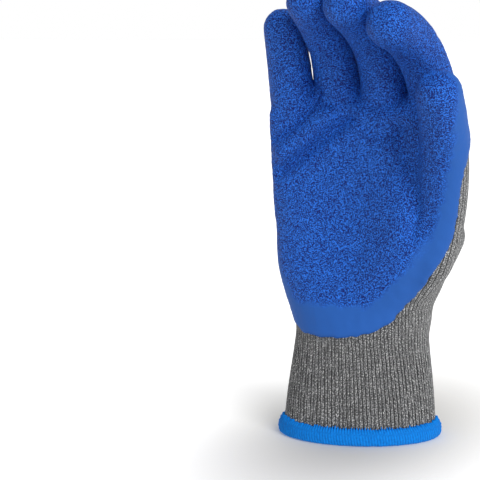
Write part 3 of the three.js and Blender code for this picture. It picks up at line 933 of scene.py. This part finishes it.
# %% Make the coat
EDGE_STAND, FULL_GAIN = 0.12, 1.13  # mm that the coat stands off at its edge, and gains inwards
GAIN_REACH = 0.9  # mm
INTO_KNIT = 0.5  # mm
COAT_WAVES = [(0.12, 7.0, 3), (0.08, 3.1, 4)]
CRINKLE_WAVES = [(1.2, 6.0, 5)]
CRINKLE_FADE = 3.5  # mm over which the crinkle sets in
coat_skin, coat_normal, depth_in, coat_washed, coat_faces = cut(
    skin, skin_faces, inside, skin_normal, inside, washed)
thickness = EDGE_STAND + FULL_GAIN * (1 - np.exp(-np.maximum(depth_in, 0) / GAIN_REACH))
thickness += uneven(coat_skin, COAT_WAVES)
coat_points, coat_walls = walled(coat_skin, coat_faces, coat_normal, thickness, INTO_KNIT)
coat = add_piece("latex_coating_skin", coat_points, coat_walls)

crinkle = (coat_washed + uneven(coat_skin, CRINKLE_WAVES)) / CRINKLE_FADE + 0.5
add_value(coat, "crinkle", np.tile(crinkle, 2))
dress(coat, "latex_coating", latex)

# %% [markdown]
# ## The ribbed cuff
#
# Elastic thread pulls the wales of the cuff into fine upright ribs. Six points across each wale
# carry it as a real form, and every second groove is deeper, so the wales stand in pairs.


# %% Make the cuff
WALE_POINTS, CUFF_ROWS = 6, 44
CUFF_LOWEST, CUFF_TOP = 2.3, WRIST_HEIGHT + 0.2
WALE_RELIEF, PAIR_RELIEF, RIB_SINK = 0.4, 0.42, 0.45  # mm
RIB_FADE = 14.0  # mm below the wrist over which the ribs fade


def turned_angles(z, shares):
    """The angle at each height at which the outline's length reaches each share."""
    at = np.asarray(z) / TURN_HEIGHTS[1]
    i = np.clip(at.astype(int), 0, len(TURN_HEIGHTS) - 2)
    part = (at - i)[:, None]
    rows = TURNS[i] * (1 - part) + TURNS[i + 1] * part
    return np.array([np.interp(shares, row, TURN_ANGLES) for row in rows])


def rib_cuff():
    """Rows of rings up the outside and down the inside, closed into one wall."""
    steps = BODY_WALES * WALE_POINTS
    shares = np.arange(steps) / steps
    z = np.linspace(CUFF_LOWEST, CUFF_TOP, CUFF_ROWS)
    wale = np.abs(np.sin(np.pi * BODY_WALES * shares)) ** 0.7
    pair = np.abs(np.sin(np.pi * BODY_WALES / 2 * shares)) ** 0.8
    bulge = WALE_RELIEF * wale + PAIR_RELIEF * pair - RIB_SINK
    fade = np.clip((WRIST_HEIGHT + 2 - z) / RIB_FADE, 0.25, 1)
    turned = turned_angles(z, shares)
    grid = np.concatenate([body_point(z[:, None], turned, bulge[None] * fade[:, None]),
                           body_point(z[:, None], turned, -KNIT_WALL)[::-1]])
    return grid, closed_faces(len(grid), steps), shares, np.r_[z, z[::-1]]


cuff_grid, cuff_faces, shares, heights = rib_cuff()
cuff = add_piece("rib_cuff_knit", cuff_grid.reshape(-1, 3), cuff_faces)
cuff_row, cuff_column = np.divmod(cuff_faces, len(shares))
add_uv(cuff, shares[cuff_column] * BODY_WALES, heights[cuff_row] / COURSE, BODY_WALES)
dress(cuff, "rib_cuff", cuff_knit)

# %% [markdown]
# ## The overlocked hem
#
# An overlock machine wraps its threads round the cut edge. The wraps stand side by side as fine
# slanted ridges, a stitch line runs near the top, and each wrap ends in a small loop that bites into
# the knit. The hem is one closed profile carried round the cuff, with the ridges as its form.

# %% Make the hem
HEM_WRAPS, WRAP_POINTS = 150, 7
HEM_TOP = 9.0
WRAP_SLANT = 0.09  # wraps for each mm of height
STITCH_LINE = 6.6  # mm above the foot
HEM_RADIUS = 36.0  # mm, for the fluff only
FLUFF_WAVES = [(1.0, 4.5, 6), (1.0, 2.2, 7)]
RIDGE_RELIEF, LINE_RELIEF, BEAD_RELIEF, FLUFF_RELIEF = 0.26, 0.3, 0.2, 0.16  # mm
HEM_PROFILE = columns(  # stand-off from the knit and height in mm, from the outer top edge round
    "grow z wrap",
    [
        (0.3, 9.0, 0), (0.9, 9.1, 0.3), (1.6, 8.7, 0.8), (2.3, 8.0, 1), (2.8, 7.2, 1),
        (3.05, 6.5, 1), (3.2, 5.6, 1), (3.3, 4.6, 1), (3.3, 3.6, 1), (3.25, 2.7, 1),
        (3.05, 1.8, 1), (2.7, 1.0, 0.9), (2.1, 0.4, 0.7), (1.2, 0.08, 0.4), (0.0, 0.0, 0.3),
        (-1.2, 0.0, 0.3), (-2.4, 0.08, 0.4), (-3.2, 0.5, 0.7), (-3.6, 1.3, 0.8),
        (-3.7, 2.4, 0.8), (-3.7, 5.0, 0.8), (-3.7, 7.6, 0.8), (-3.5, 8.6, 0.6),
        (-3.0, 9.0, 0.3), (-2.5, 9.0, 0), (-2.3, 8.6, 0), (-2.3, 5.0, 0), (-2.3, 2.2, 0),
        (-1.0, 2.0, 0), (0.1, 2.1, 0), (0.3, 2.6, 0), (0.3, 5.0, 0), (0.3, 8.2, 0),
    ],
)


def hem_rows(per_span=2):
    """The profile with points added between its rows, and each point's outward direction."""
    count = len(HEM_PROFILE["z"])
    at = np.arange(count * per_span) / per_span
    grow, z, wrap = (np.interp(at, np.arange(count + 1), np.r_[k, k[0]])
                     for k in HEM_PROFILE.values())
    ahead = unit(np.stack([np.roll(k, -1) - np.roll(k, 1) for k in (grow, z)], axis=1))
    return grow, z, wrap, -ahead[:, 1], ahead[:, 0]


def hem_grid():
    """The profile moved out by the wraps' sine, slanted, less the stitch line; and the painted shade
    of its yarn.
    """
    steps = HEM_WRAPS * WRAP_POINTS
    shares = np.arange(steps) / steps
    grow, z, wrap, out, rise = (column[:, None] for column in hem_rows())
    phase = HEM_WRAPS * shares[None] + WRAP_SLANT * z
    ridge_and_shade = np.abs(np.sin(np.pi * phase)) ** 0.8
    line = np.exp(-(((z - STITCH_LINE) / 0.45) ** 2)) * (grow > 0.5)
    beads = np.abs(np.sin(np.pi * (phase + 0.5))) ** 0.8 * line
    lift = wrap * (RIDGE_RELIEF * ridge_and_shade - 0.1) - LINE_RELIEF * line + BEAD_RELIEF * beads
    turn = 2 * np.pi * shares + 0 * z
    place = np.stack([HEM_RADIUS * np.cos(turn), HEM_RADIUS * np.sin(turn), 2 * z + 0 * turn], 2)
    fluff = uneven(place.reshape(-1, 3), FLUFF_WAVES).reshape(lift.shape)
    lift = lift + FLUFF_RELIEF * fluff * wrap
    bite = np.exp(-(((z - HEM_TOP) / 0.5) ** 2)) * (grow > 0.25)
    loops = ridge_and_shade ** 3 * (1 + 0.8 * fluff)
    points = body_point(z, turned_angles(z[:, 0], shares), grow + out * lift)
    points[..., 2] = np.maximum(z + rise * lift + bite * (0.9 * loops - 0.2), 0.02)  # off the table
    # The second value is painted shade for the yarn: dark in the grooves and along the stitch line,
    # lighter on the crests and beads.
    return points, ridge_and_shade * (wrap > 0) * (1 - 0.75 * line) + 0.5 * beads


hem_points, hem_shade = hem_grid()
hem_faces = closed_faces(*hem_points.shape[:2])[:, ::-1]
hem = add_piece("overlock_hem_yarn", hem_points.reshape(-1, 3), hem_faces)
# The hem's painted shade, for its yarn to read.
add_value(hem, "ridge_and_shade", hem_shade)
dress(hem, "overlock_hem", yarn)

# %% [markdown]
# ## Floor, light and camera
#
# The glove stands on its hem on a white table. A bright room lights it, a little dimmer above and
# on the left, with one large soft lamp at the right, in front and above. It gives the fingers their
# form and leaves a faint shadow. A grey pool of painted shadow lies on the table round the glove,
# and the table far off has a painted glow, so it shows plain white.


# %% The stage
FLOOR_HALF = 20000.0
SHADOW_START, SHADOW_END = 5.0, 235.0  # mm from the glove between which the painted shadow on the table fades to white
SHADOW_SQUEEZE = 1.9  # how much narrower than deep the painted shadow is


def sheet_floor():
    """A flat square at the hem's foot, with a shadow painted grey towards the glove and a painted
    glow far off from it.
    """
    corners = FLOOR_HALF * np.array([(-1, -1, 0), (1, -1, 0), (1, 1, 0), (-1, 1, 0)])
    floor = add_piece("floor", corners, np.array([[0, 1, 2, 3]]))
    paint, shader, nodes = new_material("white table with painted shadow and glow", roughness=0.7)
    place = nodes.add("TexCoord").outputs["Object"]
    place = nodes.add("VectorMath", {0: place, 1: (SHADOW_SQUEEZE, 1.0, 1.0)},
                      operation="MULTIPLY").outputs[0]
    away = nodes.add("VectorMath", {0: place}, operation="LENGTH").outputs[1]
    # Painted shadow and glow: the table is painted grey near the glove, and far off it turns white
    # and glows by itself.
    shade = nodes.spread(away, SHADOW_START * MM, SHADOW_END * MM, kind="SMOOTHSTEP")
    shader.inputs["Emission Color"].default_value = linear("#ffffff")
    nodes.feed(shader, {"Base Color": nodes.mix(shade, "#d0ceca", "#fafafa"),
                        "Emission Strength": nodes.math("MULTIPLY", shade, 0.5)})
    floor.data.materials.append(paint)
    floor.visible_diffuse = False


def bright_room():
    """The light falls off upwards and to the left, and the camera itself sees plain white."""
    world = bpy.data.worlds.new("bright room")
    world.use_nodes = True
    nodes = Nodes(world.node_tree)
    x, _, z = nodes.add("SeparateXYZ", {0: nodes.add("TexCoord").outputs["Generated"]}).outputs
    lit = nodes.math("MULTIPLY", nodes.spread(z, -0.3, 0.8, 0.85, 0.52),
                     nodes.spread(x, -1.0, 1.0, 0.82, 1.06))
    seen = nodes.add("LightPath").outputs["Is Camera Ray"]
    sky = world.node_tree.nodes["Background"]
    sky.inputs["Color"].default_value = linear("#ffffff")
    nodes.feed(sky, {"Strength": nodes.add("Mix", {0: seen, 2: lit, 3: 1.0}).outputs[0]})
    bpy.context.scene.world = world


sheet_floor()
bright_room()
lamp = bpy.data.lights.new("soft key", "SUN")
lamp.energy, lamp.angle = 2.0, np.radians(35)
new_object("soft key", lamp).rotation_euler = np.radians((60, 0, 54))
bpy.context.scene.view_settings.view_transform = "Standard"

# %% The camera
PICTURE = 480
MM_PER_PIXEL = 0.546
DISTANCE = 760.0
SENSOR = 36
TARGET = Vector((0, -6, 118))
TARGET_PIXEL = (358.2, 223.0)
VIEW_TURN, VIEW_RISE = np.radians((20, 8))
back = Vector((np.sin(VIEW_TURN) * np.cos(VIEW_RISE), -np.cos(VIEW_TURN) * np.cos(VIEW_RISE),
               np.sin(VIEW_RISE)))
right = Vector((np.cos(VIEW_TURN), np.sin(VIEW_TURN), 0))
aim = (TARGET - right * (TARGET_PIXEL[0] - PICTURE / 2) * MM_PER_PIXEL
       - back.cross(right) * (PICTURE / 2 - TARGET_PIXEL[1]) * MM_PER_PIXEL)
eye = TARGET + back * DISTANCE
view = bpy.data.cameras.new("view")
view.sensor_width = SENSOR
view.lens = SENSOR * DISTANCE / (PICTURE * MM_PER_PIXEL)
camera = new_object("view", view)
camera.location = eye * MM
camera.rotation_euler = (aim - eye).to_track_quat("-Z", "Y").to_euler()
bpy.context.scene.camera = camera
print("lens", round(view.lens, 1))
